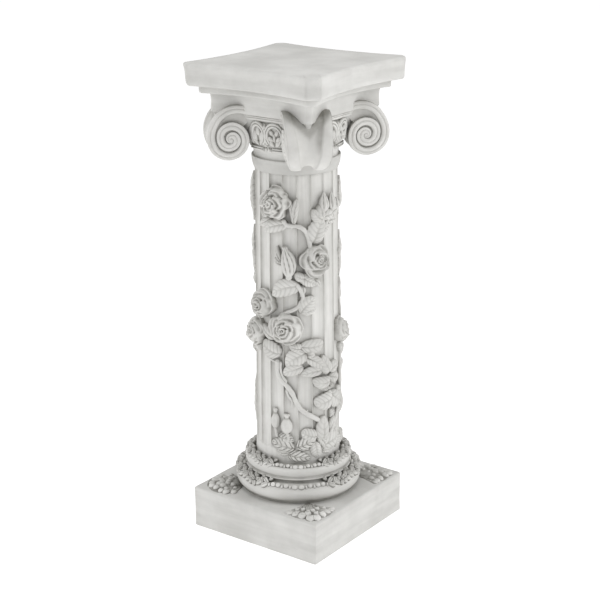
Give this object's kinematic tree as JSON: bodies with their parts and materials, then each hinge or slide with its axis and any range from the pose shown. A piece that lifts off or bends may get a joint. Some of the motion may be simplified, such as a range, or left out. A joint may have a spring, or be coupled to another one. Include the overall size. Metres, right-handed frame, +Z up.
{
  "type": "column pedestal",
  "caption": "Fluted column pedestal on a square plinth, wound with climbing roses, with corner scrolls under a hollow-sided flat top for standing a pot or a bust on.",
  "frame": {"origin": "centre of the underside of the plinth", "axes": "+Z up the column; +X and -Y out of the two neighbouring sides that the picture shows, so the corner nearest the viewer lies between +X and -Y"},
  "size_m": [0.266, 0.266, 0.8],
  "materials": {
    "cast_stone": "matt off-white cast stone, rubbed with grey-brown antiquing wash that stays in the recesses"
  },
  "bodies": {
    "root": {"pedestal": "cast_stone"}
  },
  "joints": []
}
